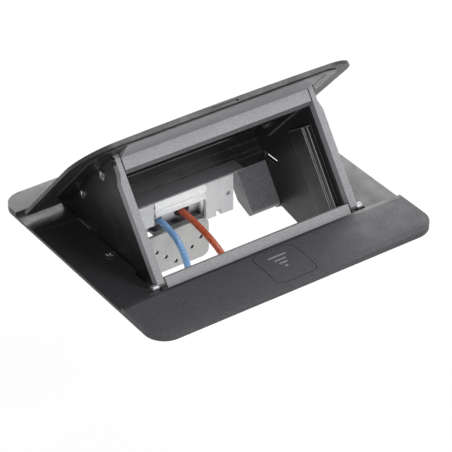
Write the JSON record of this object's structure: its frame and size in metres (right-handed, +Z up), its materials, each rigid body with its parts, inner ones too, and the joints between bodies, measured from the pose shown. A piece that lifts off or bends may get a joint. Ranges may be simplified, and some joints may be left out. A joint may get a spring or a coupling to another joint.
{
  "type": "pop up desk socket",
  "caption": "Flush desk power unit with a base frame, a spring-raised tilting tray under a full width lid, a press-release button and a wired connection block behind an empty module window",
  "frame": {"origin": "Middle of the flange's underside, on the worktop, at half the base's width and depth.", "axes": "+X runs along the width, +Y from the button at the front to the hinge at the rear, +Z up out of the worktop."},
  "size_m": [0.15, 0.13, 0.1123],
  "materials": {
    "charcoal_plastic": "fine satin grain",
    "gloss_black_plastic": "smooth, half gloss",
    "black_plastic": "plain moulded",
    "bar_paint": "dark grey grained paint",
    "black_rubber": "matt",
    "bright_steel": "bright zinc plate",
    "spring_steel": "drawn wire",
    "zinc": "cast zinc",
    "white_plastic": "white, half gloss",
    "clear_plastic": "clear, polished",
    "brass": "turned",
    "blue_sleeve": "extruded sleeve",
    "brown_sleeve": "extruded sleeve",
    "copper": "bare strands"
  },
  "bodies": {
    "frame": {"base_frame": "charcoal_plastic", "flange_gasket": "black_rubber", "hinge_pins": "bright_steel", "torsion_springs": "spring_steel", "latch_housing": "black_plastic", "housing_screws": "bright_steel", "clamp_screws": "bright_steel", "clamp_nuts": "bright_steel", "button_spring": "spring_steel", "latch_spring": "spring_steel"},
    "tray": {"lid_cover": "charcoal_plastic", "lid_liner": "black_plastic", "upper_bar": "bar_paint", "lower_bar": "bar_paint", "left_bar": "bar_paint", "right_bar": "bar_paint", "left_cheek": "gloss_black_plastic", "right_cheek": "gloss_black_plastic", "cheek_screws": "bright_steel", "bar_end_plugs": "bright_steel", "stop_pins": "bright_steel", "rear_wall": "gloss_black_plastic", "left_ear": "gloss_black_plastic", "right_ear": "gloss_black_plastic", "left_rail": "gloss_black_plastic", "right_rail": "gloss_black_plastic", "block_housing": "white_plastic", "left_end_box": "white_plastic", "right_end_box": "white_plastic", "end_box_screw": "bright_steel", "clear_cover": "clear_plastic", "terminal_barrels": "brass", "cord_plate": "white_plastic", "blue_wire": "blue_sleeve", "brown_wire": "brown_sleeve", "blue_wire_cores": "copper", "brown_wire_cores": "copper"},
    "button": {"release_button": "charcoal_plastic"},
    "latch": {"latch_slider": "black_plastic"},
    "left_clamp": {"left_claw": "zinc"},
    "right_clamp": {"right_claw": "zinc"}
  },
  "joints": [
    {"name": "lid_hinge", "type": "hinge", "parent": "frame", "child": "tray", "pos_m": [0, 0.0455, -0.0005], "axis": [1, 0, 0], "range_deg": [0, 48.2], "stiffness_Nm_per_rad": 0.15, "springref_deg": -68.75, "deforming": ["torsion_springs"]},
    {"name": "button_press", "type": "slide", "parent": "frame", "child": "button", "axis": [0, 0, -1], "range_m": [0, 0.002], "stiffness_N_per_m": 400, "springref_m": -0.002, "deforming": ["button_spring"]},
    {"name": "latch_slide", "type": "slide", "parent": "frame", "child": "latch", "axis": [0, -1, 0], "range_m": [0, 0.001], "stiffness_N_per_m": 300, "springref_m": -0.001, "deforming": ["latch_spring"]},
    {"name": "left_claw_swing", "type": "hinge", "parent": "frame", "child": "left_clamp", "pos_m": [-0.0564, 0.0015, -0.0136], "axis": [0, 0, 1], "range_deg": [0, 90]},
    {"name": "right_claw_swing", "type": "hinge", "parent": "frame", "child": "right_clamp", "pos_m": [0.0564, 0.0015, -0.0136], "axis": [0, 0, 1], "range_deg": [-90, 0]}
  ],
  "couplings": [
    {"joint": "latch_slide", "follows": "button_press", "ratio": 0.5}
  ]
}
